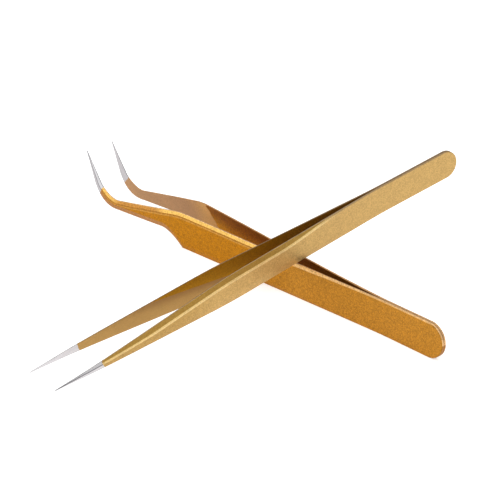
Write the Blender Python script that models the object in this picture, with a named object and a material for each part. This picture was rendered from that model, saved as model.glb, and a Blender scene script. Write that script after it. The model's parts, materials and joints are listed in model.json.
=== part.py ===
"""A set of two fine-point stamp tongs, one straight pair and one curved pair.

Both pairs are the same kind of thing: two flat strips of spring steel, spot-welded
at the heel, splayed in front of the welds and ground to needle points. The curved
pair stands on its lower edges. The straight pair lies across it, points down.

A strip bends where it leaves the weld. Here it is two rigid pieces, a shank that is
welded and a blade that swings, divided in the middle of the stretch that bends.

Each pair is modelled in its own frame, in millimetres: X runs from the heel to the
points, Z across the strip, and Y across the opening, with the near strip at +Y.
Run it from Blender's text editor or with: blender --background --python part.py
"""

from dataclasses import dataclass
from math import asin, atan, cos, radians, sin, sqrt

import bmesh
import bpy
from mathutils import Euler, Matrix, Vector

MM = 0.001

# Straight pair, mm
STRAIGHT_LENGTH = 139.0
STRAIGHT_HEEL_WIDTH = 8.1
STRAIGHT_BELLY_WIDTH = 8.0
STRAIGHT_BELLY_AT = 81.5
STRAIGHT_BELLY_ROUNDING = 12.0
STRAIGHT_THICKNESS = 0.6
STRAIGHT_WELD_END = 24.0
STRAIGHT_SPLAY = 0.0592
STRAIGHT_TIP_SPLAY = 0.008
STRAIGHT_STRAIGHTEN_AT = 119.0
STRAIGHT_FACET_FROM = 38.0
STRAIGHT_FACET_FULL = 64.0
STRAIGHT_FACET_WIDTH = 1.95

# Curved pair, mm
CURVED_HEEL_WIDTH = 10.2
CURVED_WAIST_WIDTH = 10.1
CURVED_FRONT_WIDTH = 10.7
CURVED_WAIST_AT = 34.6
CURVED_THICKNESS = 0.75
CURVED_WELD_END = 18.8
CURVED_SPLAY = 0.0562
CURVED_TIP_SPLAY = 0.0038
CURVED_STRAIGHTEN_AT = 96.0
CURVED_FACET_FROM = 25.0
CURVED_FACET_FULL = 75.0
CURVED_FACET_WIDTH = 1.4
CURVED_STEP_AT = 95.8
CURVED_STEP_LENGTH = 8.2
CURVED_STEP_FADE = 1.6
CURVED_BEND_AT = 122.5
CURVED_NECK_DROP = 0.212
CURVED_NECK_WIDTH = 5.4
CURVED_NECK_END_WIDTH = 2.88
CURVED_BEND_RADIUS = 8.6
CURVED_BEND_BULGE = 0.27
CURVED_NECK_HEADING = radians(-8.85)
CURVED_POINT_HEADING = radians(60.8)
CURVED_POINT_WIDTH = 2.5
CURVED_POINT_LENGTH = 9.55

# Both pairs, mm
FLEX_LENGTH = 14.0
TIP_WIDTH = 0.3
TIP_THICKNESS = 0.3
POINT_THIN_LENGTH = 24.0
EDGE_BREAK = 0.15
FACET_DEPTH = 0.3
FACET_SHARE = 0.45
TOUCH_GAP = 0.3
WELD_DIAMETER = 3.0
WELD_DEPTH = 0.05
WELD_SIDES = 32
WELD_PITCH = 5.5
WELD_INSET = 3.4

# How the two pairs lie, mm and radians
CURVED_YAW = radians(133.3)
STRAIGHT_YAW = radians(216.5)
CROSSING_ON_CURVED = 56.1
CROSSING_ON_STRAIGHT = 58.2
CROSSING_GAP = 0.5

HEEL_STEPS = 12
BODY_STEP = 5.0
NECK_STEP = 1.4
BEND_STEPS = 14


@dataclass(frozen=True)
class Station:
    """One cross-section of a strip: its middle, its heading in XZ and half its width."""

    x: float
    z: float
    heading: float
    half_width: float


@dataclass(frozen=True)
class Pair:
    """The sizes that the strip builder needs from one pair of tongs."""

    name: str
    stations: list
    thickness: float
    heel_width: float
    weld_end: float
    splay: float
    tip_splay: float
    straighten_at: float
    facet_from: float
    facet_full: float
    facet_width: float
    tip_x: float

    def pivot_x(self):
        """The middle of the stretch that bends, where a blade is divided from its shank."""
        return self.weld_end + FLEX_LENGTH / 2

    def inner_y(self, x):
        """Distance from the middle plane to a strip's inner face."""
        opened = self.splay * ramp(x - self.weld_end, FLEX_LENGTH)
        closed_in = (self.splay - self.tip_splay) * ramp(x - self.straighten_at, FLEX_LENGTH)
        return TOUCH_GAP / 2 + opened - closed_in

    def thickness_at(self, path_left):
        """The strip thins over the last stretch of its path, down to the needle point."""
        share = min(path_left / POINT_THIN_LENGTH, 1.0)
        return TIP_THICKNESS + (self.thickness - TIP_THICKNESS) * share


def ramp(x, length):
    """A slope that grows evenly from 0 to 1 over length, and stays 1."""
    if x <= 0:
        return 0.0
    if x < length:
        return x * x / (2 * length)
    return x - length / 2


def smooth(x):
    """An S-shaped step from 0 to 1."""
    x = min(max(x, 0.0), 1.0)
    return x * x * (3 - 2 * x)


def mix(a, b, share):
    """The value a share of the way from a to b."""
    return a + (b - a) * share


def spread(start, end, step):
    """Even values from start to end, both included, no further apart than step."""
    count = max(int((end - start) / step + 0.999), 1)
    return [mix(start, end, i / count) for i in range(count + 1)]


def heel_stations(width, middle_z):
    """Cross-sections of a half-round heel, from its rearmost sliver to its full width."""
    radius = width / 2
    quarter = radians(90)
    angles = [mix(0.06, quarter, i / HEEL_STEPS) for i in range(HEEL_STEPS)]
    return [Station(radius * (1 - cos(a)), middle_z, 0.0, radius * sin(a)) for a in angles]


def straight_half_width(x):
    """Half the width of the straight strip: a little wider to the belly, then a long taper."""
    widening = (STRAIGHT_BELLY_WIDTH - STRAIGHT_HEEL_WIDTH) / STRAIGHT_BELLY_AT
    taper = (TIP_WIDTH - STRAIGHT_BELLY_WIDTH) / (STRAIGHT_LENGTH - STRAIGHT_BELLY_AT)
    past_belly = ramp(x - STRAIGHT_BELLY_AT + STRAIGHT_BELLY_ROUNDING / 2, STRAIGHT_BELLY_ROUNDING)
    return (STRAIGHT_HEEL_WIDTH + widening * x + (taper - widening) * past_belly) / 2


def straight_stations():
    """Cross-sections of a straight strip, from heel to point."""
    found = heel_stations(STRAIGHT_HEEL_WIDTH, 0.0)
    for x in [STRAIGHT_HEEL_WIDTH / 2] + spread(STRAIGHT_WELD_END, STRAIGHT_LENGTH, BODY_STEP):
        found.append(Station(x, 0.0, 0.0, straight_half_width(x)))
    return found


def curved_width(x):
    """Width of the curved strip behind its step: heel, narrower waist, wider front."""
    if x < CURVED_WAIST_AT:
        return mix(CURVED_HEEL_WIDTH, CURVED_WAIST_WIDTH, smooth(x / CURVED_WAIST_AT))
    share = (x - CURVED_WAIST_AT) / (CURVED_STEP_AT - CURVED_WAIST_AT)
    return mix(CURVED_WAIST_WIDTH, CURVED_FRONT_WIDTH, smooth(share))


def curved_edges(x):
    """Heights of the lower and upper edge of the curved strip behind its bend."""
    top = curved_width(x) - CURVED_NECK_DROP * ramp(x - CURVED_STEP_AT + 1, 5.0)
    neck_from = CURVED_STEP_AT + CURVED_STEP_LENGTH
    share = (x - neck_from) / (CURVED_BEND_AT - neck_from)
    neck_bottom = top - mix(CURVED_NECK_WIDTH, CURVED_NECK_END_WIDTH, share)
    step = min(max((x - CURVED_STEP_AT) / CURVED_STEP_LENGTH, 0.0), 1.0)
    return neck_bottom * (1 - (1 - step) ** CURVED_STEP_FADE), top


def curved_stations():
    """Cross-sections of a curved strip: heel, body, step, neck, bend and point."""
    found = heel_stations(CURVED_HEEL_WIDTH, CURVED_HEEL_WIDTH / 2)
    body = [CURVED_HEEL_WIDTH / 2] + spread(CURVED_WELD_END, CURVED_STEP_AT, BODY_STEP)
    neck = spread(CURVED_STEP_AT, CURVED_BEND_AT, NECK_STEP)
    for x in body + neck[1:-1]:
        bottom, top = curved_edges(x)
        found.append(Station(x, (bottom + top) / 2, 0.0, (top - bottom) / 2))
    bottom, top = curved_edges(CURVED_BEND_AT)
    middle = (bottom + top) / 2
    for i in range(BEND_STEPS + 1):
        share = i / BEND_STEPS
        heading = mix(CURVED_NECK_HEADING, CURVED_POINT_HEADING, share)
        x = CURVED_BEND_AT + CURVED_BEND_RADIUS * (sin(heading) - sin(CURVED_NECK_HEADING))
        z = middle + CURVED_BEND_RADIUS * (cos(CURVED_NECK_HEADING) - cos(heading))
        width = mix(CURVED_NECK_END_WIDTH, CURVED_POINT_WIDTH, share)
        bulge = CURVED_BEND_BULGE * (4 * share * (1 - share)) ** 2
        found.append(Station(x, z, heading, width / 2 + bulge))
    start = found[-1]
    for along in spread(0.0, CURVED_POINT_LENGTH, NECK_STEP)[1:]:
        share = along / CURVED_POINT_LENGTH
        x = start.x + along * cos(CURVED_POINT_HEADING)
        z = start.z + along * sin(CURVED_POINT_HEADING)
        half = mix(CURVED_POINT_WIDTH, TIP_WIDTH, share) / 2
        found.append(Station(x, z, CURVED_POINT_HEADING, half))
    return found


def straight_pair():
    """The straight pair's sizes, with its cross-sections worked out."""
    return Pair(
        name="straight",
        stations=straight_stations(),
        thickness=STRAIGHT_THICKNESS,
        heel_width=STRAIGHT_HEEL_WIDTH,
        weld_end=STRAIGHT_WELD_END,
        splay=STRAIGHT_SPLAY,
        tip_splay=STRAIGHT_TIP_SPLAY,
        straighten_at=STRAIGHT_STRAIGHTEN_AT,
        facet_from=STRAIGHT_FACET_FROM,
        facet_full=STRAIGHT_FACET_FULL,
        facet_width=STRAIGHT_FACET_WIDTH,
        tip_x=STRAIGHT_LENGTH,
    )


def curved_pair():
    """The curved pair's sizes, with its cross-sections worked out."""
    stations = curved_stations()
    return Pair(
        name="curved",
        stations=stations,
        thickness=CURVED_THICKNESS,
        heel_width=CURVED_HEEL_WIDTH,
        weld_end=CURVED_WELD_END,
        splay=CURVED_SPLAY,
        tip_splay=CURVED_TIP_SPLAY,
        straighten_at=CURVED_STRAIGHTEN_AT,
        facet_from=CURVED_FACET_FROM,
        facet_full=CURVED_FACET_FULL,
        facet_width=CURVED_FACET_WIDTH,
        tip_x=stations[-1].x,
    )


def path_left(stations):
    """For each cross-section, the length of path from it to the point."""
    left = [0.0]
    for ahead, behind in zip(stations[::-1], stations[-2::-1]):
        left.append(left[-1] + sqrt((ahead.x - behind.x) ** 2 + (ahead.z - behind.z) ** 2))
    return left[::-1]


def section_ring(pair, station, left, side):
    """Six points round a strip: a flat inner face, two edges and a bevelled outer face."""
    thickness = pair.thickness_at(left)
    grown = smooth((station.x - pair.facet_from) / (pair.facet_full - pair.facet_from))
    facet = mix(EDGE_BREAK, pair.facet_width, grown)
    depth = mix(EDGE_BREAK, FACET_DEPTH, grown) * thickness / pair.thickness
    half = station.half_width
    facet = min(facet, 2 * half * FACET_SHARE)
    inner = pair.inner_y(station.x)
    outer = inner + thickness
    outline = [
        (-half, inner),
        (half, inner),
        (half, outer - depth),
        (half - facet, outer),
        (facet - half, outer),
        (-half, outer - depth),
    ]
    ring = []
    for across, y in outline:
        x = station.x - across * sin(station.heading)
        z = station.z + across * cos(station.heading)
        ring.append(Vector((x, side * y, z)))
    return ring


def cut_station(stations, lefts, x):
    """A cross-section between two others, and its length of path to the point."""
    for i in range(1, len(stations)):
        behind, ahead = stations[i - 1], stations[i]
        if ahead.x >= x:
            share = (x - behind.x) / (ahead.x - behind.x)
            middle = mix(behind.z, ahead.z, share)
            half = mix(behind.half_width, ahead.half_width, share)
            return Station(x, middle, 0.0, half), mix(lefts[i - 1], lefts[i], share)
    raise ValueError("the cut lies beyond the point")


def loft(name, rings, origin):
    """One closed mesh through rings of points, kept relative to the piece's own origin."""
    mesh = bmesh.new()
    loops = [[mesh.verts.new((point - origin) * MM) for point in ring] for ring in rings]
    for first, second in zip(loops, loops[1:]):
        count = len(first)
        for i in range(count):
            j = (i + 1) % count
            mesh.faces.new((first[i], first[j], second[j], second[i]))
    mesh.faces.new(loops[0][::-1])
    mesh.faces.new(loops[-1])
    bmesh.ops.recalc_face_normals(mesh, faces=mesh.faces)
    data = bpy.data.meshes.new(name)
    mesh.to_mesh(data)
    mesh.free()
    data.shade_smooth()
    data.set_sharp_from_angle(angle=radians(12))
    return data


def add_object(name, data, parent, place, finish=None):
    """An object in the scene, placed in its parent's frame in millimetres."""
    made = bpy.data.objects.new(name, data)
    bpy.context.scene.collection.objects.link(made)
    made.parent = parent
    made.location = Vector(place) * MM
    if finish:
        data.materials.append(finish)
    return made


def weld_places(pair, middle_z):
    """The middles of a pair's two spot welds, in the plane between its strips."""
    first = pair.heel_width / 2 + WELD_INSET - WELD_DIAMETER / 2
    return [Vector((first + i * WELD_PITCH, 0.0, middle_z)) for i in range(2)]


def disc(name, radius, depth):
    """A flat round solid lying across the opening, on its own middle."""
    mesh = bmesh.new()
    turned = Matrix.Rotation(radians(90), 4, "X")
    bmesh.ops.create_cone(
        mesh,
        cap_ends=True,
        segments=WELD_SIDES,
        radius1=radius * MM,
        radius2=radius * MM,
        depth=depth * MM,
        matrix=turned,
    )
    data = bpy.data.meshes.new(name)
    mesh.to_mesh(data)
    mesh.free()
    data.shade_smooth()
    data.set_sharp_from_angle(angle=radians(30))
    return data


def add_welds(pair, frame, middle_z, finish):
    """The two weld nuggets, and a cutter for the pocket that each leaves in the strips."""
    cutters = []
    depth = TOUCH_GAP + 2 * WELD_DEPTH
    for label, place in zip(("rear", "front"), weld_places(pair, middle_z)):
        name = f"{pair.name}_{label}_weld"
        add_object(name, disc(name, WELD_DIAMETER / 2, depth), frame, place, finish)
        pocket = disc(f"{name}_pocket", WELD_DIAMETER / 2 + TOUCH_GAP, depth + 2 * TOUCH_GAP)
        cutter = add_object(f"{name}_pocket", pocket, frame, place)
        cutter.hide_render = True
        cutter.display_type = "WIRE"
        cutters.append(cutter)
    return cutters


def add_strip(pair, frame, side, label, cutters, finish):
    """One strip of a pair, as a welded shank and a blade that swings about its own origin."""
    lefts = path_left(pair.stations)
    both = list(zip(pair.stations, lefts))
    rear_cut = cut_station(pair.stations, lefts, pair.pivot_x() - TOUCH_GAP / 2)
    front_cut = cut_station(pair.stations, lefts, pair.pivot_x() + TOUCH_GAP / 2)
    rear = [pair_of for pair_of in both if pair_of[0].x < rear_cut[0].x] + [rear_cut]
    front = [front_cut] + [pair_of for pair_of in both if pair_of[0].x > front_cut[0].x]

    shank_name = f"{pair.name}_{label}_shank"
    rings = [section_ring(pair, station, left, side) for station, left in rear]
    shank = add_object(
        shank_name, loft(shank_name, rings, Vector()), frame, Vector(), finish
    )
    for cutter in cutters:
        pocket = shank.modifiers.new(cutter.name, "BOOLEAN")
        pocket.operation = "DIFFERENCE"
        pocket.object = cutter

    middle_y = pair.inner_y(pair.pivot_x()) + pair.thickness / 2
    pivot = Vector((pair.pivot_x(), side * middle_y, front_cut[0].z))
    hinge = add_object(f"{pair.name}_{label}_pivot", None, frame, pivot)
    blade_name = f"{pair.name}_{label}_blade"
    rings = [section_ring(pair, station, left, side) for station, left in front]
    add_object(blade_name, loft(blade_name, rings, pivot), hinge, Vector(), finish)


def add_pair(pair, parent, place, turn, finish, weld_finish):
    """One whole pair of tongs in its own frame."""
    frame = add_object(f"{pair.name}_pair", None, parent, place)
    frame.rotation_euler = turn
    middle_z = pair.stations[0].z
    cutters = add_welds(pair, frame, middle_z, weld_finish)
    add_strip(pair, frame, 1, "near", cutters, finish)
    add_strip(pair, frame, -1, "far", cutters, finish)
    return frame


def metal(name, colour, roughness, metallic):
    """A plain finish for one kind of piece."""
    made = bpy.data.materials.new(name)
    made.use_nodes = True
    shader = made.node_tree.nodes["Principled BSDF"]
    shader.inputs["Base Color"].default_value = (*colour, 1.0)
    shader.inputs["Roughness"].default_value = roughness
    shader.inputs["Metallic"].default_value = metallic
    made.diffuse_color = (*colour, 1.0)
    return made


def lean_of_straight():
    """How far the straight pair tips down: its points meet the table, and it clears the curved pair."""
    ahead = STRAIGHT_LENGTH - CROSSING_ON_STRAIGHT
    drop = straight_half_width(CROSSING_ON_STRAIGHT) - TIP_WIDTH / 2
    height = curved_width(CROSSING_ON_CURVED) + CROSSING_GAP
    return asin(height / sqrt(ahead**2 + drop**2)) + atan(drop / ahead)


def straight_place(straight, curved, turn):
    """Where the straight pair's heel goes, so that its far strip crosses the curved near strip."""
    curved_y = curved.inner_y(CROSSING_ON_CURVED) + CURVED_THICKNESS / 2
    under = Vector((CROSSING_ON_CURVED, curved_y, 0.0))
    under.rotate(Matrix.Rotation(CURVED_YAW, 3, "Z"))
    under.z = curved_width(CROSSING_ON_CURVED) + CROSSING_GAP
    straight_y = straight.inner_y(CROSSING_ON_STRAIGHT) + STRAIGHT_THICKNESS / 2
    half = straight_half_width(CROSSING_ON_STRAIGHT)
    over = Vector((CROSSING_ON_STRAIGHT, -straight_y, -half))
    over.rotate(turn)
    return under - over


def centre_on_origin(root):
    """Shifts the set so that the middle of its footprint is the origin."""
    bpy.context.view_layer.update()
    corners = []
    for made in bpy.context.scene.objects:
        if made.type == "MESH" and not made.hide_render:
            corners += [made.matrix_world @ vertex.co for vertex in made.data.vertices]
    for axis in (0, 1):
        low = min(corner[axis] for corner in corners)
        high = max(corner[axis] for corner in corners)
        root.location[axis] -= (low + high) / 2


def clear_scene():
    """Removes what the scene starts with."""
    for made in list(bpy.data.objects):
        bpy.data.objects.remove(made, do_unlink=True)


def main():
    """Builds both pairs and sets them down as they lie."""
    clear_scene()
    pale_gold = metal("straight_coating", (0.60, 0.39, 0.14), 0.42, 0.8)
    deep_gold = metal("curved_coating", (0.55, 0.23, 0.02), 0.42, 0.8)
    weld_steel = metal("weld_steel", (0.55, 0.54, 0.52), 0.5, 1.0)
    root = add_object("tongs_set", None, None, Vector())

    curved = curved_pair()
    curved_turn = Euler((0.0, 0.0, CURVED_YAW), "XYZ")
    add_pair(curved, root, Vector(), curved_turn, deep_gold, weld_steel)

    straight = straight_pair()
    straight_turn = Euler((0.0, lean_of_straight(), STRAIGHT_YAW), "XYZ")
    place = straight_place(straight, curved, straight_turn)
    add_pair(straight, root, place, straight_turn, pale_gold, weld_steel)

    centre_on_origin(root)


main()
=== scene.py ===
"""The looks of a set of two crossed stamp tongs: coated strips, ground points, welds and a studio.

Each pair is two flat strips of spring steel. A strip is a loft: a row of stations along its
spine, and round each station a section with broken edges and bevelled outer corners. The
stations follow each pair's own outline, in millimetres in the pair's own frame, where X runs
from the heel to the points, Y across the opening and Z across the strip.
"""

from __future__ import annotations

import json
import logging
from dataclasses import asdict, dataclass, fields
from enum import Enum
from math import cos, hypot, pi, radians, sin
from typing import Any

import bpy
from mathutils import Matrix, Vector


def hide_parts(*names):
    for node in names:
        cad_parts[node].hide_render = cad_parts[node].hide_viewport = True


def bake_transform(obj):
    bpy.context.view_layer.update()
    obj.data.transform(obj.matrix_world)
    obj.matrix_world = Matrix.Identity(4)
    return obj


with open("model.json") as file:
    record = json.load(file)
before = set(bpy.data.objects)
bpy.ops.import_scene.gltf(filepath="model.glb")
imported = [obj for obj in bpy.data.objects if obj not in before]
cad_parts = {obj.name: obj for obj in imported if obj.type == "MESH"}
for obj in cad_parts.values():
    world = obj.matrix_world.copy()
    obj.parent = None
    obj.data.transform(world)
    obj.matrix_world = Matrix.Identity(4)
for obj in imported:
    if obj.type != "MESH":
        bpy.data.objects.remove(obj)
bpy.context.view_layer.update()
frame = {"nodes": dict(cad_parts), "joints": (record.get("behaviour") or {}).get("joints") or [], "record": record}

LOG = logging.getLogger("stamp_tongs")
MM = 0.001

# Sizes that both pairs share, mm
FLEX_LENGTH = 14.0
CAD_SEAM = 0.3
SEAM = 0.06
TIP_WIDTH = 0.2
TIP_THICKNESS = 0.2
POINT_THIN_LENGTH = 24.0
EDGE_BREAK = 0.15
FACET_DEPTH = 0.3
FACET_SHARE = 0.45

# How finely the strips are drawn
HEEL_STEPS = 24
TIP_STEPS = 8
BODY_STEP = 1.0
NECK_STEP = 0.5
BEND_STEPS = 44
CORNERS = 3
CORNER_POINTS = 7
PROFILE_POINTS = CORNERS * CORNER_POINTS
ROUNDING_ROOM = 0.3
# Added before a count is cut to a whole number, so that it rounds up past any rounding error
ROUND_UP = 0.999
# Points of a section that lie closer than this become one, m
MERGE_DISTANCE = 2e-7

# Bands along a bevel's crease, mm past the crease towards the strip's edge: where the bevel starts, the painted
# highlight and the painted shade line along the crease, the painted dark reflection line on bare steel, and the
# painted highlight along the heel's top edge
BEVEL_START = (-0.05, 0.1)
CREASE_SHINE = (-0.34, 0.05)
CREASE_SHADOW = (0.05, 0.42)
CREASE_SOFT = 0.08
STEEL_REFLECTION_LINE = (-0.1, 0.14)
STEEL_REFLECTION_LINE_SOFT = 0.06
HEEL_RIM_START = (-0.3, 0.1)
# How much of the rim's colour, a painted highlight, the bevel takes behind the crease
HEEL_RIM_SHARE = 0.6

# Changes of a coating along and across a strip, mm, most of them in its painted light and shade: the fade of the
# crease lines, the neck, the painted shade on the bevel along the neck, and the painted shade on the inner face's
# upper half
CREASE_FADE = (-8.0, 4.0)
NECK_FADE = 3.0
NECK_SHADE_FROM = 19.0
NECK_SHADE_SHORT_OF_NECK = 4.0
UPPER_SHADE = (-1.0, 4.5)
# How softly a strip's upper half turns into its lower one, in a mark that runs from 1 to -1
HALF_SOFT = 0.2

Colour = tuple[float, float, float]
Value = Any


class Side(Enum):
    """Which strip of a pair: the one that its opening axis points to, or the one behind it."""

    NEAR = 1
    FAR = -1

    @property
    def label(self) -> str:
        """The word that names this strip's nodes."""
        return self.name.lower()


class Mark(str, Enum):
    """The attributes that a strip's mesh carries for its finish."""

    STRIP = "strip"
    PROFILE = "profile"
    UPPER = "upper"


class Zone(float, Enum):
    """Places along half of a section, counted in its points from outer face to inner face."""

    BEVEL_END = 8.0
    OUTER_EDGE = 10.0
    INNER_EDGE = 17.0
    INNER_FACE = 19.5


def ramp(x: float, length: float) -> float:
    """The height of a path whose slope grows evenly from 0 to 1 over length, and stays 1.

    Args:
        x: distance along it.
        length: the distance over which the slope grows.

    Returns:
        The height.
    """
    if x <= 0:
        return 0.0
    if x < length:
        return x * x / (2 * length)
    return x - length / 2


def smooth(x: float) -> float:
    """An S-shaped step from 0 to 1."""
    x = min(max(x, 0.0), 1.0)
    return x * x * (3 - 2 * x)


def mix(a: float, b: float, share: float) -> float:
    """The value a share of the way from a to b."""
    return a + (b - a) * share


def spread(start: float, end: float, step: float) -> list[float]:
    """Even values from start to end, both included.

    Args:
        start: first value.
        end: last value.
        step: the most that two neighbours lie apart.

    Returns:
        The values in order.
    """
    count = max(int((end - start) / step + ROUND_UP), 1)
    return [mix(start, end, i / count) for i in range(count + 1)]


# ---------------------------------------------------------------- node trees


class Field:
    """One socket of a node tree, with Python's operators standing for Math nodes."""

    def __init__(self, tree: Tree, socket: bpy.types.NodeSocket) -> None:
        """Wraps a socket.

        Args:
            tree: the tree that the socket belongs to.
            socket: the output socket.
        """
        self.tree = tree
        self.socket = socket

    def math(self, operation: str, *others: Value) -> Field:
        """A Math node that starts with this socket.

        Args:
            operation: the Math node's operation.
            others: its other inputs.

        Returns:
            The node's result.
        """
        return self.tree.math(operation, self, *others)

    def __add__(self, other: Value) -> Field:
        """Sum."""
        return self.math("ADD", other)

    def __radd__(self, other: Value) -> Field:
        """Sum, with the number first."""
        return self.math("ADD", other)

    def __sub__(self, other: Value) -> Field:
        """Difference."""
        return self.math("SUBTRACT", other)

    def __rsub__(self, other: Value) -> Field:
        """Difference, with the number first."""
        return self.tree.math("SUBTRACT", other, self)

    def __mul__(self, other: Value) -> Field:
        """Product."""
        return self.math("MULTIPLY", other)

    def __rmul__(self, other: Value) -> Field:
        """Product, with the number first."""
        return self.math("MULTIPLY", other)

    def __truediv__(self, other: Value) -> Field:
        """Quotient."""
        return self.math("DIVIDE", other)

    def __rtruediv__(self, other: Value) -> Field:
        """Quotient, with the number first."""
        return self.tree.math("DIVIDE", other, self)

    def __lt__(self, other: Value) -> Field:
        """1 where this is less than the other, else 0."""
        return self.math("LESS_THAN", other)

    def __gt__(self, other: Value) -> Field:
        """1 where this is greater than the other, else 0."""
        return self.math("GREATER_THAN", other)

    def least(self, other: Value) -> Field:
        """The lesser of the two."""
        return self.math("MINIMUM", other)

    def most(self, other: Value) -> Field:
        """The greater of the two."""
        return self.math("MAXIMUM", other)

    def rise(self, low: Value, high: Value) -> Field:
        """An S-shaped step from 0 at low to 1 at high."""
        settings = {"interpolation_type": "SMOOTHSTEP"}
        return self.tree.make("ShaderNodeMapRange", settings, {0: self, 1: low, 2: high})

    def band(self, low: float, high: float, soft: float) -> Field:
        """1 between low and high, 0 outside, with both flanks as wide as soft."""
        return self.rise(low - soft, low + soft) * (1 - self.rise(high - soft, high + soft))


class Tree:
    """A node tree being built. Every node in it comes from the node method."""

    def __init__(self, tree: bpy.types.NodeTree) -> None:
        """Starts building.

        Args:
            tree: the node tree that the nodes go in.
        """
        self.tree = tree

    def node(self, kind: str, settings: dict[str, Any], inputs: dict[Any, Value]) -> bpy.types.Node:
        """Adds a node.

        Args:
            kind: the node's type identifier.
            settings: its properties, which are set first. "choices" is a switch's number of them.
            inputs: numbers, colours or fields for its sockets, by socket name or number.

        Returns:
            The node.
        """
        node = self.tree.nodes.new(kind)
        for name, setting in settings.items():
            if name == "choices":
                while len(node.index_switch_items) < setting:
                    node.index_switch_items.new()
            else:
                setattr(node, name, setting)
        for name, value in inputs.items():
            socket = node.inputs[name]
            if isinstance(value, Field):
                self.tree.links.new(value.socket, socket)
            elif socket.type == "RGBA":
                socket.default_value = (*value, 1.0)
            else:
                socket.default_value = value
        return node

    def make(
        self,
        kind: str,
        settings: dict[str, Any] | None = None,
        inputs: dict[Any, Value] | None = None,
        output: str | int = 0,
    ) -> Field:
        """Adds a node and wraps one of its outputs.

        Args:
            kind: the node's type identifier.
            settings: its properties.
            inputs: values or fields for its sockets.
            output: the name or number of the output that is wanted.

        Returns:
            That output.
        """
        node = self.node(kind, settings or {}, inputs or {})
        return Field(self, node.outputs[output])

    def math(self, operation: str, *values: Value) -> Field:
        """A Math node.

        Args:
            operation: its operation.
            values: its inputs in order.

        Returns:
            Its result.
        """
        return self.make("ShaderNodeMath", {"operation": operation}, dict(enumerate(values)))

    def vector(self, x: Value, y: Value, z: Value) -> Field:
        """Three fields as one vector."""
        return self.make("ShaderNodeCombineXYZ", {}, {0: x, 1: y, 2: z})

    def parts(self, vector: Field) -> tuple[Field, Field, Field]:
        """A vector's three fields."""
        node = self.node("ShaderNodeSeparateXYZ", {}, {0: vector})
        return tuple(Field(self, output) for output in node.outputs)

    def scaled(self, vector: Value, factor: Value) -> Field:
        """A vector times a field."""
        return self.make("ShaderNodeVectorMath", {"operation": "SCALE"}, {0: vector, "Scale": factor})

    def summed(self, first: Value, second: Value) -> Field:
        """The sum of two vectors."""
        return self.make("ShaderNodeVectorMath", {"operation": "ADD"}, {0: first, 1: second})


# ---------------------------------------------------------------- the loft


@dataclass(frozen=True)
class Station:
    """One place along a strip's spine.

    The section reaches half_width to each side of the spine. Its turn is a right angle along
    the strip, and opens from nothing at the heel and to a half turn at the point, so that the
    section sweeps round both rounded ends.
    """

    x: float
    z: float
    heading: float
    half_width: float
    turn: float = pi / 2


@dataclass(frozen=True)
class StripSizes:
    """The sizes that tell one pair's strips from the other's, mm."""

    thickness: float
    weld_end: float
    splay: float
    tip_splay: float
    straighten_at: float
    facet_from: float
    facet_full: float
    facet_width: float
    crease_radius: float
    edge_radius: float


@dataclass(frozen=True)
class Placement:
    """Where a pair lies: its heel's middle and its three axes."""

    origin: Vector
    along: Vector
    opening: Vector
    across: Vector

    def point(self, x: float, y: float, z: float) -> Vector:
        """A point of the pair's own frame, in mm, as a place in metres."""
        return self.origin + (self.along * x + self.opening * y + self.across * z) * MM


def titled(name: str) -> str:
    """A size's name as the label of the input that takes it."""
    return name.replace("_", " ").title()


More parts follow.
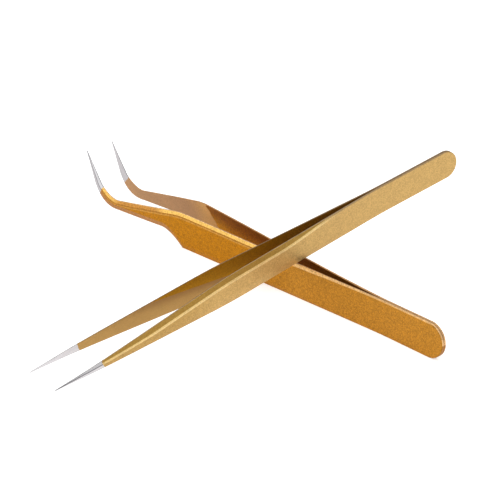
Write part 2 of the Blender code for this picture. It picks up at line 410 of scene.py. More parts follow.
class StripLoft:
    """The Geometry Nodes tree that turns a row of stations into a closed strip."""

    NUMBERS = (*(titled(size.name) for size in fields(StripSizes)), "Side")
    VECTORS = ("Origin", "Along", "Opening", "Across")

    def __init__(self) -> None:
        """Builds the tree once, for all four strips."""
        group = bpy.data.node_groups.new("strip_loft", "GeometryNodeTree")
        interface = group.interface
        interface.new_socket("Stations", in_out="INPUT", socket_type="NodeSocketGeometry")
        for name in self.NUMBERS:
            interface.new_socket(name, in_out="INPUT", socket_type="NodeSocketFloat")
        for name in self.VECTORS:
            interface.new_socket(name, in_out="INPUT", socket_type="NodeSocketVector")
        interface.new_socket("Finish", in_out="INPUT", socket_type="NodeSocketMaterial")
        interface.new_socket("Strip", in_out="OUTPUT", socket_type="NodeSocketGeometry")
        self.group = group
        self.tree = Tree(group)
        entry = self.tree.node("NodeGroupInput", {}, {})
        self.entry = {output.name: Field(self.tree, output) for output in entry.outputs if output.name}
        self.build()

    def station(self, name: str, index: Field) -> Field:
        """A station's named value, read at an index of the stations."""
        value = self.tree.make("GeometryNodeInputNamedAttribute", {"data_type": "FLOAT"}, {"Name": name})
        return self.tree.make(
            "GeometryNodeSampleIndex",
            {"data_type": "FLOAT", "domain": "POINT"},
            {"Geometry": self.entry["Stations"], "Value": value, "Index": index},
        )

    def ramp(self, x: Field, length: float) -> Field:
        """The ramp function as nodes."""
        inside = x.most(0.0).least(length)
        return inside * inside / (2 * length) + (x - length).most(0.0)

    def pick(self, index: Field, choices: list[Value]) -> Field:
        """One of several values, by index."""
        settings = {"data_type": "FLOAT", "choices": len(choices)}
        return self.tree.make("GeometryNodeIndexSwitch", settings, dict(enumerate([index, *choices])))

    def inner_y(self, x: Field) -> Field:
        """How far the inner face lies from the pair's middle plane.

        Args:
            x: the place along the pair.

        Returns:
            The distance.
        """
        size = self.entry
        opened = size["Splay"] * self.ramp(x - size["Weld End"], FLEX_LENGTH)
        pulled = (size["Splay"] - size["Tip Splay"]) * self.ramp(x - size["Straighten At"], FLEX_LENGTH)
        parted = (x - size["Weld End"]).rise(0.0, FLEX_LENGTH)
        return SEAM / 2 + (CAD_SEAM - SEAM) / 2 * parted + opened - pulled

    def section(self, x: Field, left: Field, half: Field, place: Field) -> tuple[Field, Field, Field]:
        """Half of a strip's section: outer face, bevel, edge and inner face, with soft corners.

        Args:
            x: the station's place along the pair.
            left: the length of spine from the station to the point.
            half: half the strip's width.
            place: the point's number along the half section.

        Returns:
            How far the point lies in from the strip's edge, its distance from the pair's
            middle plane, and how far the flat of the outer face reaches from the spine.
        """
        size = self.entry
        inner = self.inner_y(x)
        thin = (left / POINT_THIN_LENGTH).least(1.0)
        thickness = TIP_THICKNESS + (size["Thickness"] - TIP_THICKNESS) * thin
        grown = x.rise(size["Facet From"], size["Facet Full"])
        facet = (EDGE_BREAK + (size["Facet Width"] - EDGE_BREAK) * grown).least(half * 2 * FACET_SHARE)
        depth = (EDGE_BREAK + (FACET_DEPTH - EDGE_BREAK) * grown) * thickness / size["Thickness"]
        slope = self.tree.math("SQRT", facet * facet + depth * depth)
        edge = thickness - depth
        flat = half - facet

        crease = size["Crease Radius"].least(slope * ROUNDING_ROOM).least(flat * ROUNDING_ROOM)
        outer_edge = size["Edge Radius"].least(slope * ROUNDING_ROOM).least(edge * ROUNDING_ROOM)
        inner_edge = size["Edge Radius"].least(edge * ROUNDING_ROOM).least(half * ROUNDING_ROOM)

        corner = self.tree.math("FLOOR", place / CORNER_POINTS)
        step = place - corner * CORNER_POINTS
        inset = self.pick(corner, [facet, 0.0, 0.0])
        height = self.pick(corner, [inner + thickness, inner + edge, inner])
        radius = self.pick(corner, [crease, outer_edge, inner_edge])
        back_in = self.pick(corner, [1.0, facet / slope, 0.0])
        back_up = self.pick(corner, [0.0, depth / slope, 1.0])
        on_in = self.pick(corner, [-1 * facet / slope, 0.0, 1.0])
        on_up = self.pick(corner, [-1 * depth / slope, -1.0, 0.0])

        last = CORNER_POINTS - 1
        share = ((step - 1) / (last - 2)).most(0.0).least(1.0)
        back = (1 - share) * (1 - share) + (step < 0.5)
        onward = share * share + (step > last - 0.5)
        return (
            inset + radius * (back * back_in + onward * on_in),
            height + radius * (back * back_up + onward * on_up),
            flat,
        )

    def build(self) -> None:
        """Adds the tree's nodes."""
        tree, size = self.tree, self.entry
        count = tree.make(
            "GeometryNodeAttributeDomainSize", {}, {"Geometry": size["Stations"]}, "Point Count"
        )
        tube = tree.make(
            "GeometryNodeMeshCylinder",
            {"fill_type": "NONE"},
            {"Vertices": 2 * PROFILE_POINTS, "Side Segments": count - 1},
            "Mesh",
        )
        index = tree.make("GeometryNodeInputIndex")
        ring = tree.math("FLOOR", (index + 0.5) / (2 * PROFILE_POINTS))
        place = index - ring * (2 * PROFILE_POINTS)
        upper = place < PROFILE_POINTS - 0.5
        place = place * upper + (2 * PROFILE_POINTS - 1 - place) * (1 - upper)
        hand = upper * 2 - 1

        x = self.station("x", ring)
        z = self.station("z", ring)
        half = self.station("half_width", ring)
        heading = self.station("heading", ring)
        turn = self.station("turn", ring)
        left = self.station("path_left", ring)
        inset, height, flat = self.section(x, left, half, place)
        reach = half - inset
        ahead = -1 * reach * tree.math("COSINE", turn)
        beside = hand * reach * tree.math("SINE", turn)
        cosine = tree.math("COSINE", heading)
        sine = tree.math("SINE", heading)
        in_x = x + ahead * cosine - beside * sine
        in_z = z + ahead * sine + beside * cosine

        turned = tree.summed(tree.scaled(size["Along"], in_x), tree.scaled(size["Across"], in_z))
        turned = tree.summed(turned, tree.scaled(size["Opening"], height * size["Side"]))
        world = tree.summed(size["Origin"], tree.scaled(turned, MM))

        marks = {
            Mark.STRIP: ("FLOAT_VECTOR", tree.vector(left - ahead, beside, flat)),
            Mark.PROFILE: ("FLOAT", place),
            Mark.UPPER: ("FLOAT", hand),
        }
        shape = tube
        for mark, (kind, value) in marks.items():
            shape = tree.make(
                "GeometryNodeStoreNamedAttribute",
                {"data_type": kind, "domain": "POINT"},
                {"Geometry": shape, "Name": mark.value, "Value": value},
            )
        shape = tree.make("GeometryNodeSetPosition", {}, {"Geometry": shape, "Position": world})
        shape = tree.make("GeometryNodeMergeByDistance", {}, {"Geometry": shape, "Distance": MERGE_DISTANCE})
        flipped = size["Side"] > 0.0
        shape = tree.make("GeometryNodeFlipFaces", {}, {"Mesh": shape, "Selection": flipped})
        shape = tree.make("GeometryNodeSetShadeSmooth", {}, {"Geometry": shape, "Shade Smooth": True})
        shape = tree.make("GeometryNodeRealizeInstances", {}, {"Geometry": shape})
        shape = tree.make("GeometryNodeSetMaterial", {}, {"Geometry": shape, "Material": size["Finish"]})
        tree.node("NodeGroupOutput", {}, {"Strip": shape})

    def strip(
        self,
        name: str,
        stations: list[Station],
        sizes: StripSizes,
        side: Side,
        place: Placement,
        finish: bpy.types.Material,
    ) -> bpy.types.Object:
        """Lofts one strip.

        Args:
            name: the piece's name.
            stations: the places along its spine, heel first.
            sizes: the pair's sizes.
            side: which of the pair's two strips it is.
            place: where the pair lies.
            finish: the strip's material.

        Returns:
            The finished piece, a plain mesh with its place in its vertices.
        """
        spine = bpy.data.meshes.new(f"{name}_spine")
        spine.from_pydata([(0.0, 0.0, 0.0)] * len(stations), [], [])
        names = [column.name for column in fields(Station)]
        columns = {name: [getattr(station, name) for station in stations] for name in names}
        columns["path_left"] = path_left(stations)
        for column, values in columns.items():
            spine.attributes.new(column, "FLOAT", "POINT").data.foreach_set("value", values)
        carrier = bpy.data.objects.new(f"{name}_spine", spine)
        loft = carrier.modifiers.new("loft", "NODES")
        loft.node_group = self.group
        given = {titled(name): size for name, size in asdict(sizes).items()}
        given |= {
            "Side": float(side.value),
            "Origin": place.origin,
            "Along": place.along,
            "Opening": place.opening,
            "Across": place.across,
            "Finish": finish,
        }
        for item in self.group.interface.items_tree:
            if item.name in given:
                loft[item.identifier] = given[item.name]
        bpy.context.scene.collection.objects.link(carrier)
        graph = bpy.context.evaluated_depsgraph_get()
        data = bpy.data.meshes.new_from_object(carrier.evaluated_get(graph), depsgraph=graph)
        data.name = name
        data.materials.pop(index=0)
        bpy.data.objects.remove(carrier)
        piece = bpy.data.objects.new(name, data)
        bpy.context.scene.collection.objects.link(piece)
        return piece


def path_left(stations: list[Station]) -> list[float]:
    """The length of spine from each station to the point.

    Args:
        stations: the places along the spine, heel first.

    Returns:
        The lengths, in the same order.
    """
    left = [0.0]
    for ahead, behind in zip(stations[::-1], stations[-2::-1]):
        left.append(left[-1] + hypot(ahead.x - behind.x, ahead.z - behind.z))
    return left[::-1]


# ---------------------------------------------------------------- finishes


class Surface(Tree):
    """A material's node tree."""

    def __init__(self, name: str) -> None:
        """Starts an empty material.

        Args:
            name: the material's name.
        """
        self.material = bpy.data.materials.new(name)
        self.material.use_nodes = True
        self.material.node_tree.nodes.clear()
        super().__init__(self.material.node_tree)
        self.in_mm = self.scaled(self.make("ShaderNodeTexCoord", output="Object"), 1 / MM)

    def mark(self, mark: Mark, output: str) -> Field:
        """One of the attributes that a strip's mesh carries."""
        return self.make("ShaderNodeAttribute", {"attribute_name": mark.value}, {}, output)

    def noise(self, place: Field, per_mm: float, detail: float) -> Field:
        """Smooth noise between about -0.5 and 0.5."""
        inputs = {"Vector": place, "Scale": per_mm, "Detail": detail}
        return self.make("ShaderNodeTexNoise", {}, inputs, 0) - 0.5

    def flakes(self, per_mm: float) -> Field:
        """A random value for each flake of a coating.

        Args:
            per_mm: how many flakes there are to a millimetre.

        Returns:
            The value, -0.5 to 0.5.
        """
        inputs = {"Vector": self.in_mm, "Scale": per_mm, "Randomness": 1.0}
        cells = self.make("ShaderNodeTexVoronoi", {"feature": "F1"}, inputs, "Color")
        return self.make("ShaderNodeSeparateColor", {}, {0: cells}, 0) - 0.5

    def blend(self, first: Value, second: Value, factor: Field) -> Field:
        """A colour between two others."""
        return self.make("ShaderNodeMix", {"data_type": "RGBA"}, {0: factor, 6: first, 7: second}, 2)

    def bump(self, height: Field, depth: float, strength: float) -> Field:
        """A normal that a height field tilts.

        Args:
            height: the field.
            depth: how far a height of 1 stands out, mm.
            strength: how much of it shows.

        Returns:
            The normal.
        """
        inputs = {"Strength": strength, "Distance": depth * MM, "Height": height}
        return self.make("ShaderNodeBump", {}, inputs, "Normal")

    def finish(self, **inputs: Value) -> bpy.types.Material:
        """Ends the tree with a Principled shader.

        Args:
            inputs: its sockets by name, with _ for a space.

        Returns:
            The finished material.
        """
        named = {name.replace("_", " "): value for name, value in inputs.items()}
        shader = self.make("ShaderNodeBsdfPrincipled", {}, named)
        self.node("ShaderNodeOutputMaterial", {}, {"Surface": shader})
        return self.material


class StripPlaces:
    """Where on a strip a point lies, as fields."""

    def __init__(self, surface: Surface) -> None:
        """Reads the strip's marks.

        Args:
            surface: the material that is being built.
        """
        self.strip = surface.mark(Mark.STRIP, "Vector")
        self.left, self.across, flat = surface.parts(self.strip)
        self.past_crease = self.across.math("ABSOLUTE") - flat
        profile = surface.mark(Mark.PROFILE, "Fac")
        self.lower = surface.mark(Mark.UPPER, "Fac").rise(HALF_SOFT, -HALF_SOFT)
        self.upper = 1 - self.lower
        self.outer = 1 - profile.rise(Zone.BEVEL_END, Zone.OUTER_EDGE)
        self.inner = profile.rise(Zone.INNER_EDGE, Zone.INNER_FACE)
        self.rim = (1 - self.outer) * (1 - self.inner)
        self.inward = profile.rise(Zone.OUTER_EDGE, Zone.INNER_EDGE)
        self.facet = self.outer * self.past_crease.rise(*BEVEL_START)


@dataclass(frozen=True)
class GroundZone:
    """The part of a strip's inner face that is ground flat, up to the point.

    It starts at heel_low along the lower edge and at heel_high along the upper edge, both as
    lengths left to the point, mm. Its border bows by bow, wavers by waver and fades over soft.
    Next to that border it takes a painted reflection colour, which turns to colour over tint_length.
    """

    heel_low: float
    heel_high: float
    bow: float
    half_width: float
    colour: Colour
    heel_colour: Colour
    tint_length: float
    waver: float = 1.5
    soft: float = 0.4

    def border(self, at: StripPlaces) -> Field:
        """Where the ground part starts.

        Args:
            at: where on the strip a point lies.

        Returns:
            The length left to the point there.
        """
        share = (at.across / (2 * self.half_width) + 0.5).most(0.0).least(1.0)
        straight = self.heel_low + (self.heel_high - self.heel_low) * share
        return straight + share * (1 - share) * (4 * self.bow)

    def tint(self, surface: Surface, at: StripPlaces) -> Field:
        """The ground steel's colour, with a painted reflection next to its border."""
        past = self.border(at) - at.left
        return surface.blend(self.heel_colour, self.colour, past.rise(0.0, self.tint_length))

    def mask(self, surface: Surface, at: StripPlaces) -> Field:
        """1 where the inner face is ground flat, with a wavering border."""
        waver = surface.noise(surface.in_mm, per_mm=0.8, detail=2.0) * self.waver
        return at.inner * (self.border(at) - at.left + waver).rise(-self.soft, self.soft)


@dataclass(frozen=True)
class BareSteel:
    """The uncoated steel of a point, with grinding marks along it."""

    length: float
    slant: float
    face: Colour = (0.56, 0.54, 0.55)
    # The bevel, crease and edge colours are painted reflections on the same steel
    facet: Colour = (0.5, 0.49, 0.5)
    crease: Colour = (0.16, 0.155, 0.165)
    edge: Colour = (0.34, 0.33, 0.34)
    ragged: float = 1.2
    soft: float = 0.1
    mark_stretch: tuple[float, float, float] = (0.12, 2.2, 2.2)
    mark_light: float = 0.6
    mark_roughness: float = 0.2
    mark_relief: float = 1.5
    roughness: float = 0.34

    def mask(self, surface: Surface, at: StripPlaces) -> Field:
        """Where the steel is bare, up to the coating's ragged end.

        Args:
            surface: the material that is being built.
            at: where on the strip a point lies.

        Returns:
            1 where it is bare, 0 where it is coated.
        """
        ragged = surface.noise(surface.in_mm, per_mm=1.1, detail=4.0)
        border = self.length - at.across * self.slant
        return (border - at.left - ragged * self.ragged).rise(-self.soft, self.soft)

    def marks(self, surface: Surface, at: StripPlaces) -> Field:
        """Grinding marks: noise drawn out along the strip.

        Args:
            surface: the material that is being built.
            at: where on the strip a point lies.

        Returns:
            The noise.
        """
        inputs = {"Vector": at.strip, "Scale": self.mark_stretch}
        drawn_out = surface.make("ShaderNodeMapping", {"vector_type": "POINT"}, inputs)
        return surface.noise(drawn_out, per_mm=3.0, detail=5.0)

    def colour(self, surface: Surface, at: StripPlaces, marks: Field) -> Field:
        """Bright steel, with painted reflections: greyer on the upper bevel, a dark line along its crease, and
        greyer along the edges.

        Args:
            surface: the material that is being built.
            at: where on the strip a point lies.
            marks: the grinding marks.

        Returns:
            The colour.
        """
        colour = surface.blend(self.face, self.facet, at.facet * at.upper)
        # A painted dark reflection line along the upper crease
        line = at.outer * at.upper * at.past_crease.band(*STEEL_REFLECTION_LINE, STEEL_REFLECTION_LINE_SOFT)
        colour = surface.blend(colour, self.crease, line)
        colour = surface.blend(colour, self.edge, at.rim)
        return surface.scaled(colour, 1 + marks * self.mark_light)


@dataclass(frozen=True)
class Palette:
    """A coating's colour at each place round a strip. Its bevel, crease, rim and deep inner
    colours are painted light and shade: the bevel's painted highlight or painted shade, dimmer
    along the neck, a painted highlight and a painted shade line along the crease, painted
    reflections on the edges and the lower bevel, and painted shade deep between the strips.
    """

    face: Colour
    face_front: Colour
    # The bevel's colour is a painted highlight or painted shade, and its neck colour is painted shade
    facet: Colour
    neck_facet: Colour
    # Painted highlight and painted shade lines along the bevel's crease
    crease: Colour
    crease_shade: Colour
    # Painted reflections on the edges: the upper rim, with painted shade towards the inner edge, and the lower
    # rim, which the lower bevel also takes in the neck
    rim: Colour
    rim_inner: Colour
    lower_rim: Colour
    inner: Colour
    inner_deep: Colour


@dataclass(frozen=True)
class Coating:
    """A satin metallic coating with fine flake over the strip, and bare steel at its point.

    Lengths are left to the point, mm: the face turns to its front colour from face_from down
    to face_to, the bevel's painted highlight and painted shade line along its crease reach up
    to crease_until and it takes a painted shade in the neck, its lower twin takes the lower
    rim's painted reflection up to neck_until, and the inner face takes painted shade between
    deep_from and deep_to, and by upper_shade along its upper half.
    """

    name: str
    palette: Palette
    ground: GroundZone
    bare: BareSteel
    face_from: float
    face_to: float
    crease_until: float
    neck_until: float
    deep_from: float
    deep_to: float
    upper_shade: float
    flake_size: float
    flake_share: float
    metallic: float
    roughness: float = 0.42
    fine_flake_ratio: float = 2.3
    fine_flake_light: float = 0.6
    ground_flake_loss: float = 0.6
    mottle_light: float = 0.16
    grain_roughness: float = 0.12
    ground_roughness: float = 0.08
    mottle_roughness: float = 0.08
    grain_relief: float = 0.7
    fine_relief: float = 0.5
    coat_relief: float = 1.2

    def material(self) -> bpy.types.Material:
        """The coating as a material that reads the strip's own marks.

        Returns:
            The material.
        """
        surface = Surface(self.name)
        at = StripPlaces(surface)
        mottle = surface.noise(surface.in_mm, per_mm=0.35, detail=2.0)
        grain = surface.flakes(1 / self.flake_size)
        fine = surface.flakes(self.fine_flake_ratio / self.flake_size)
        ground = self.ground.mask(surface, at)
        share = (1 - ground * self.ground_flake_loss) * self.flake_share
        light = 1 + mottle * self.mottle_light + (grain + fine * self.fine_flake_light) * share
        coat = surface.scaled(self.coat(surface, at, ground), light)
        bare = self.bare.mask(surface, at)
        marks = self.bare.marks(surface, at)
        colour = surface.blend(coat, self.bare.colour(surface, at, marks), bare)

        steel = self.bare
        rough = self.roughness + grain * self.grain_roughness + ground * self.ground_roughness
        rough = rough + mottle * self.mottle_roughness
        rough = rough * (1 - bare) + (steel.roughness + marks * steel.mark_roughness) * bare
        relief = grain * self.grain_relief + fine * self.fine_relief + mottle + self.coat_relief
        relief = relief * (1 - bare) + marks * steel.mark_relief * bare
        return surface.finish(
            Base_Color=colour,
            Roughness=rough,
            Metallic=bare.most(self.metallic),
            Specular_IOR_Level=0.05,
            Normal=surface.bump(relief, depth=0.03, strength=0.35),
        )

    def coat(self, surface: Surface, at: StripPlaces, ground: Field) -> Field:
        """The coating's colour before its flake, with its painted light and shade.

        Args:
            surface: the material that is being built.
            at: where on the strip a point lies.
            ground: 1 where the inner face is ground flat.

        Returns:
            The colour.
        """
        shades = self.palette
        behind = at.left.rise(*(self.crease_until + fade for fade in CREASE_FADE))
        neck = 1 - at.left.rise(self.neck_until - NECK_FADE, self.neck_until + NECK_FADE)
        # Where the painted highlight and shade lines of the crease are drawn, up to crease_until
        creased = at.outer * at.upper * (1 - behind)
        # Painted highlight along the top of the outer face towards the heel
        heel_edge_highlight = at.outer * at.upper * behind * at.past_crease.rise(*HEEL_RIM_START)
        # Painted light on the bevel: its painted highlight or shade, with painted shade along the neck
        neck_shade = at.left.band(NECK_SHADE_FROM, self.neck_until - NECK_SHADE_SHORT_OF_NECK, NECK_FADE)
        bevel = surface.blend(shades.facet, shades.neck_facet, neck_shade)
        # Painted shade on the inner face, deeper towards the heel and along the upper half
        deep = at.left.rise(self.deep_from, self.deep_to)
        deep = deep.most(at.across.rise(*UPPER_SHADE) * self.upper_shade)
        # Painted light and shade over the coating: the bevel's painted highlight or shade, the crease's painted
        # lines, the painted reflections on the lower bevel and rims, the heel's painted edge highlight and the
        # inner face's painted shade; then the ground face
        layers = (
            (bevel, at.facet * at.upper),
            (shades.crease_shade, creased * at.past_crease.band(*CREASE_SHADOW, CREASE_SOFT)),
            (shades.crease, creased * at.past_crease.band(*CREASE_SHINE, CREASE_SOFT)),
            (shades.lower_rim, at.facet * at.lower * neck),
            (shades.rim, heel_edge_highlight * HEEL_RIM_SHARE),
            (shades.rim, at.rim * at.upper),
            (shades.rim_inner, at.rim * at.upper * at.inward),
            (shades.lower_rim, at.rim * at.lower),
            (surface.blend(shades.inner, shades.inner_deep, deep), at.inner),
            (self.ground.tint(surface, at), ground),
        )
        back = at.left.rise(self.face_to, self.face_from)
        colour = surface.blend(shades.face_front, shades.face, back)
        for layer, mask in layers:
            colour = surface.blend(colour, layer, mask)
        return colour


@dataclass(frozen=True)
class WeldSteel:
    """The heat-tinted steel of a spot weld."""

    name: str = "weld_steel"
    core: Colour = (0.55, 0.53, 0.5)
    tint: Colour = (0.28, 0.2, 0.16)
    tint_soft: float = 0.15
    roughness: float = 0.5
    patch_roughness: float = 0.3

    def material(self) -> bpy.types.Material:
        """Grey steel with heat-tinted patches and fine pits.

        Returns:
            The material.
        """
        surface = Surface(self.name)
        patches = surface.noise(surface.in_mm, per_mm=0.9, detail=4.0)
        pits = surface.noise(surface.in_mm, per_mm=6.0, detail=3.0)
        tinted = patches.rise(-self.tint_soft, self.tint_soft)
        return surface.finish(
            Base_Color=surface.blend(self.core, self.tint, tinted),
            Roughness=self.roughness + patches * self.patch_roughness,
            Metallic=1.0,
            Normal=surface.bump(pits, depth=0.05, strength=0.5),
        )


@dataclass(frozen=True)
class Laminate:
    """A plain white table top, a little uneven in its sheen."""

    name: str = "white_laminate"
    colour: Colour = (0.93, 0.93, 0.93)
    dull_colour: Colour = (0.9, 0.9, 0.9)
    haze_soft: float = 0.2
    roughness: float = 0.8
    haze_roughness: float = 0.1
    glow: float = 0.45

    def material(self) -> bpy.types.Material:
        """White that glows a little, so that shadows stay faint.

        Returns:
            The material.
        """
        surface = Surface(self.name)
        haze = surface.noise(surface.in_mm, per_mm=0.004, detail=2.0)
        hazed = haze.rise(-self.haze_soft, self.haze_soft)
        return surface.finish(
            Base_Color=surface.blend(self.colour, self.dull_colour, hazed),
            Roughness=self.roughness + haze * self.haze_roughness,
            Emission_Color=self.colour,
            Emission_Strength=self.glow,
        )


# ---------------------------------------------------------------- the two pairs


@dataclass
class Pair:
    """One pair of tongs: two mirrored strips, welded at the heel."""

    name: str
    sizes: StripSizes
    coating: Coating

    def stations(self) -> list[Station]:
        """The places along a strip's spine, heel first."""
        raise NotImplementedError

    def pivot_middle(self) -> float:
        """Height of the spine where a strip bends, in the pair's frame, mm."""
        raise NotImplementedError

    def placement(self) -> Placement:
        """Where the frame puts this pair, from its joints and its heel's mount.

        Returns:
            The heel's middle and the pair's axes.
        """
        joints = {joint["name"]: joint for joint in frame["joints"]}
        mounts = {mount["name"]: mount for mount in frame["record"]["mounts"]}
        near, far = (joints[f"{self.name}_{side.label}_squeeze"] for side in Side)
        across = Vector(far["axis"]).normalized()
        opening = Vector(mounts[f"{self.name}_heel_side"]["axis"]).normalized()
        along = opening.cross(across)
        pivot = (Vector(near["pos_m"]) + Vector(far["pos_m"])) / 2
        bend_at = self.sizes.weld_end + FLEX_LENGTH / 2
        origin = pivot - (along * bend_at + across * self.pivot_middle()) * MM
        return Placement(origin, along, opening, across)

    def heel(self, width: float, middle: float) -> list[Station]:
        """Stations round a half-round heel, which all share its centre."""
        turns = [pi / 2 * i / HEEL_STEPS for i in range(HEEL_STEPS)]
        return [Station(width / 2, middle, 0.0, width / 2, turn) for turn in turns]

    def tip(self, end: Station) -> list[Station]:
        """Stations round the point, which all share the last station's centre."""
        turns = [pi / 2 * (1 + i / TIP_STEPS) for i in range(1, TIP_STEPS + 1)]
        return [Station(end.x, end.z, end.heading, end.half_width, turn) for turn in turns]

    def build(self, loft: StripLoft) -> list[bpy.types.Object]:
        """Makes both strips and hides the shank and blade parts that they stand for.

        Args:
            loft: the tree that makes a strip from its stations.

        Returns:
            The two pieces.
        """
        place = self.placement()
        finish = self.coating.material()
        stations = self.stations()
        bend_from = place.point(self.sizes.weld_end, 0.0, 0.0)
        bend_to = place.point(self.sizes.weld_end + FLEX_LENGTH, 0.0, 0.0)
        made = []
        for side in Side:
            name = f"{self.name}_{side.label}_strip"
            strip = loft.strip(name, stations, self.sizes, side, place, finish)
            arm = f"{self.name}_{side.label}_arm"
            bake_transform(strip)
            shown_for = (f"{self.name}_{side.label}_{part}" for part in ("shank", "blade"))
            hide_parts(*shown_for)
            made.append(strip)
        return made


@dataclass
class StraightPair(Pair):
    """The straight pair: a strip that widens to a belly and then tapers to its point."""

    length: float = 139.0
    heel_width: float = 8.1
    belly_width: float = 8.0
    belly_at: float = 81.5
    belly_rounding: float = 12.0

    def pivot_middle(self) -> float:
        """The straight strip's spine is its frame's X axis."""
        return 0.0

    def half_width(self, x: float) -> float:
        """Half the strip's width.

        Args:
            x: the place along the pair.

        Returns:
            The half width.
        """
        widening = (self.belly_width - self.heel_width) / self.belly_at
        taper = (TIP_WIDTH - self.belly_width) / (self.length - self.belly_at)
        past_belly = ramp(x - self.belly_at + self.belly_rounding / 2, self.belly_rounding)
        return (self.heel_width + widening * x + (taper - widening) * past_belly) / 2

    def stations(self) -> list[Station]:
        """The places along the spine, heel first."""
        found = self.heel(self.heel_width, 0.0)
        end = self.length - TIP_WIDTH / 2
        for x in spread(self.heel_width / 2, end, BODY_STEP):
            found.append(Station(x, 0.0, 0.0, self.half_width(x)))
        return found + self.tip(found[-1])


@dataclass
class CurvedPair(Pair):
    """The curved pair: a strip that steps down to a neck and bends up to its point."""

    heel_width: float = 10.2
    waist_width: float = 10.1
    front_width: float = 10.7
    waist_at: float = 34.6
    step_at: float = 95.8
    step_length: float = 8.2
    step_fade: float = 1.6
    bend_at: float = 122.5
    neck_drop: float = 0.212
    drop_ahead: float = 1.0
    drop_length: float = 5.0
    neck_width: float = 5.4
    neck_end_width: float = 2.88
    bend_radius: float = 8.6
    bend_bulge: float = 0.27
    neck_heading: float = radians(-8.85)
    point_heading: float = radians(60.8)
    point_width: float = 2.5
    point_length: float = 9.55

    def pivot_middle(self) -> float:
        """The strip stands on its lower edge, so its spine is half its width up."""
        return self.width(self.sizes.weld_end + FLEX_LENGTH / 2) / 2

    def width(self, x: float) -> float:
        """The strip's width behind its step.

        Args:
            x: the place along the pair.

        Returns:
            The width.
        """
        if x < self.waist_at:
            return mix(self.heel_width, self.waist_width, smooth(x / self.waist_at))
        share = (x - self.waist_at) / (self.step_at - self.waist_at)
        return mix(self.waist_width, self.front_width, smooth(share))

    def edges(self, x: float) -> tuple[float, float]:
        """Heights of the lower and upper edge behind the bend.

        Args:
            x: the place along the pair.

        Returns:
            Both heights, the lower first.
        """
        top = self.width(x) - self.neck_drop * ramp(x - self.step_at + self.drop_ahead, self.drop_length)
        neck_from = self.step_at + self.step_length
        share = (x - neck_from) / (self.bend_at - neck_from)
        neck_bottom = top - mix(self.neck_width, self.neck_end_width, share)
        step = min(max((x - self.step_at) / self.step_length, 0.0), 1.0)
        return neck_bottom * (1 - (1 - step) ** self.step_fade), top

    def stations(self) -> list[Station]:
        """The places along the spine, heel first."""
        found = self.heel(self.heel_width, self.heel_width / 2)
        body = spread(self.heel_width / 2, self.step_at, BODY_STEP)
        neck = spread(self.step_at, self.bend_at, NECK_STEP)
        for x in body + neck[1:-1]:
            bottom, top = self.edges(x)
            found.append(Station(x, (bottom + top) / 2, 0.0, (top - bottom) / 2))
        return found + self.bend() + self.point()

    def bend(self) -> list[Station]:
        """Stations round the bend, which swells a little in its middle."""
        bottom, top = self.edges(self.bend_at)
        found = []
        for i in range(BEND_STEPS + 1):
            share = i / BEND_STEPS
            heading = mix(self.neck_heading, self.point_heading, share)
            x = self.bend_at + self.bend_radius * (sin(heading) - sin(self.neck_heading))
            z = (bottom + top) / 2 + self.bend_radius * (cos(self.neck_heading) - cos(heading))
            width = mix(self.neck_end_width, self.point_width, share)
            bulge = self.bend_bulge * (4 * share * (1 - share)) ** 2
            found.append(Station(x, z, heading, width / 2 + bulge))
        return found

    def point(self) -> list[Station]:
        """Stations along the straight point and round its end."""
        start = self.bend()[-1]
        end = self.point_length - TIP_WIDTH / 2
        found = []
        for along in spread(0.0, end, NECK_STEP)[1:]:
            x = start.x + along * cos(self.point_heading)
            z = start.z + along * sin(self.point_heading)
            half = mix(self.point_width, TIP_WIDTH, along / end) / 2
            found.append(Station(x, z, self.point_heading, half))
        return found + self.tip(found[-1])


def straight_pair() -> StraightPair:
    """The straight pair, in pale gold."""
    return StraightPair(
        name="straight",
        sizes=StripSizes(
            thickness=0.6,
            weld_end=24.0,
            splay=0.0592,
            tip_splay=0.008,
            straighten_at=119.0,
            facet_from=38.0,
            facet_full=64.0,
            facet_width=1.95,
            crease_radius=0.3,
            edge_radius=0.1,
        ),
        coating=Coating(
            name="pale_gold_coating",
            # The bevel, crease, rim and deep inner colours are painted light and shade
            palette=Palette(
                face=(0.54, 0.345, 0.124),
                face_front=(0.46, 0.285, 0.092),
                facet=(0.345, 0.2, 0.044),
                neck_facet=(0.345, 0.2, 0.044),
                crease=(0.75, 0.545, 0.25),
                crease_shade=(0.7, 0.5, 0.2),
                rim=(0.44, 0.3, 0.16),
                rim_inner=(0.22, 0.145, 0.08),
                lower_rim=(0.55, 0.36, 0.15),
                inner=(0.4, 0.19, 0.01),
                inner_deep=(0.26, 0.105, 0.008),
            ),
            ground=GroundZone(
                heel_low=86.0,
                heel_high=30.0,
                bow=0.0,
                half_width=3.6,
                colour=(0.44, 0.265, 0.09),
                heel_colour=(0.36, 0.2, 0.07),
                tint_length=22.0,
            ),
            bare=BareSteel(length=15.0, slant=0.25),
            face_from=56.0,
            face_to=40.0,
            crease_until=96.0,
            neck_until=0.0,
            deep_from=55.0,
            deep_to=95.0,
            upper_shade=0.0,
            flake_size=0.3,
            flake_share=0.3,
            metallic=0.55,
        ),
    )


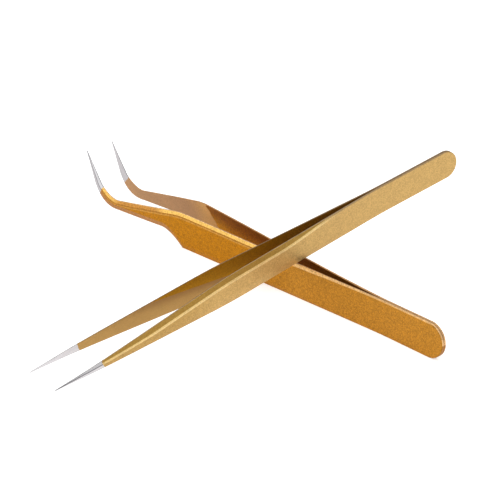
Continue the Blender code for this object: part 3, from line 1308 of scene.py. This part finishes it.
def curved_pair() -> CurvedPair:
    """The curved pair, in deep orange gold."""
    return CurvedPair(
        name="curved",
        sizes=StripSizes(
            thickness=0.75,
            weld_end=18.8,
            splay=0.0562,
            tip_splay=0.0038,
            straighten_at=96.0,
            facet_from=25.0,
            facet_full=75.0,
            facet_width=1.4,
            crease_radius=0.35,
            edge_radius=0.12,
        ),
        coating=Coating(
            name="deep_gold_coating",
            # The bevel, crease, rim and deep inner colours are painted light and shade
            palette=Palette(
                face=(0.415, 0.18, 0.017),
                face_front=(0.385, 0.149, 0.002),
                facet=(0.65, 0.39, 0.095),
                neck_facet=(0.42, 0.19, 0.036),
                crease=(0.44, 0.21, 0.035),
                crease_shade=(0.3, 0.125, 0.015),
                rim=(0.95, 0.6, 0.28),
                rim_inner=(0.5, 0.28, 0.13),
                lower_rim=(0.36, 0.16, 0.045),
                inner=(0.6, 0.26, 0.001),
                inner_deep=(0.27, 0.088, 0.001),
            ),
            ground=GroundZone(
                heel_low=54.4,
                heel_high=47.4,
                bow=1.9,
                half_width=4.8,
                colour=(0.405, 0.228, 0.112),
                heel_colour=(0.61, 0.34, 0.115),
                tint_length=14.0,
            ),
            bare=BareSteel(length=12.0, slant=0.1, face=(0.42, 0.4, 0.41)),
            face_from=90.0,
            face_to=70.0,
            crease_until=88.0,
            neck_until=42.0,
            deep_from=80.0,
            deep_to=100.0,
            upper_shade=1.0,
            flake_size=0.28,
            flake_share=0.55,
            metallic=0.7,
        ),
    )


@dataclass
class Welds:
    """The four spot welds that hold the strips together at their heels."""

    finish: WeldSteel

    def dress(self) -> list[bpy.types.Object]:
        """Gives each weld node its finish.

        Returns:
            The nodes.
        """
        steel = self.finish.material()
        welds = [node for name, node in sorted(frame["nodes"].items()) if name.endswith("_weld")]
        for node in welds:
            node.data.materials.clear()
            node.data.materials.append(steel)
        return welds


# ---------------------------------------------------------------- the studio


@dataclass(frozen=True)
class Softbox:
    """A flat rectangular light that faces the object."""

    name: str
    place: tuple[float, float, float]
    size: tuple[float, float]
    power: float
    colour: Colour = (1.0, 1.0, 1.0)

    def build(self) -> None:
        """Hangs the light."""
        lamp = bpy.data.lights.new(self.name, "AREA")
        lamp.shape = "RECTANGLE"
        lamp.size, lamp.size_y = self.size
        lamp.energy = self.power
        lamp.color = self.colour
        hung = bpy.data.objects.new(self.name, lamp)
        hung.location = self.place
        hung.rotation_euler = (-Vector(self.place)).to_track_quat("-Z", "Y").to_euler()
        bpy.context.scene.collection.objects.link(hung)


@dataclass
class Studio:
    """A white table under soft light, and the camera that looks down on it."""

    table_size: float = 6.0
    surround: Colour = (0.5, 0.5, 0.5)
    softboxes: tuple[Softbox, ...] = (
        Softbox("overhead_softbox", (0.0, 0.0, 0.9), (1.2, 1.2), 4.5),
        Softbox("left_softbox", (-0.9, -0.05, 0.16), (0.5, 0.3), 2.0),
        Softbox("front_softbox", (0.1, -1.0, 0.8), (0.8, 0.6), 5.0),
    )
    table_finish: Laminate = Laminate()
    camera_place: tuple[float, float, float] = (-0.000195, -0.727364, 0.376157)
    camera_dip: float = radians(26.6673)
    lens: float = 216.69

    def build(self) -> None:
        """Sets the table, the lights, the surround and the camera."""
        self.build_table()
        for softbox in self.softboxes:
            softbox.build()
        self.build_surround()
        self.build_camera()
        bpy.context.scene.view_settings.view_transform = "Standard"

    def build_table(self) -> None:
        """A plain white table top under the set."""
        half = self.table_size / 2
        corners = [(-half, -half, 0.0), (half, -half, 0.0), (half, half, 0.0), (-half, half, 0.0)]
        data = bpy.data.meshes.new("table_top")
        data.from_pydata(corners, [], [(0, 1, 2, 3)])
        table = bpy.data.objects.new("table_top", data)
        bpy.context.scene.collection.objects.link(table)
        data.materials.append(self.table_finish.material())

    def build_surround(self) -> None:
        """Even light from all round."""
        world = bpy.data.worlds.new("studio")
        world.use_nodes = True
        world.node_tree.nodes.clear()
        tree = Tree(world.node_tree)
        light = tree.make("ShaderNodeBackground", {}, {"Color": self.surround, "Strength": 1.0})
        tree.node("ShaderNodeOutputWorld", {}, {"Surface": light})
        bpy.context.scene.world = world

    def build_camera(self) -> None:
        """The camera looks along +Y and down."""
        data = bpy.data.cameras.new("camera")
        data.lens = self.lens
        data.clip_start = 0.01
        camera = bpy.data.objects.new("camera", data)
        camera.location = self.camera_place
        camera.rotation_euler = (pi / 2 - self.camera_dip, 0.0, 0.0)
        bpy.context.scene.collection.objects.link(camera)
        bpy.context.scene.camera = camera


def main() -> None:
    """Builds both pairs, dresses the welds and sets the studio."""
    logging.basicConfig(level=logging.INFO, format="%(name)s %(message)s")
    loft = StripLoft()
    for pair in (curved_pair(), straight_pair()):
        for strip in pair.build(loft):
            LOG.info("%s: %d vertices", strip.name, len(strip.data.vertices))
    for weld in Welds(WeldSteel()).dress():
        LOG.info("%s: dressed", weld.name)
    Studio().build()


if __name__ == "__main__":
    main()
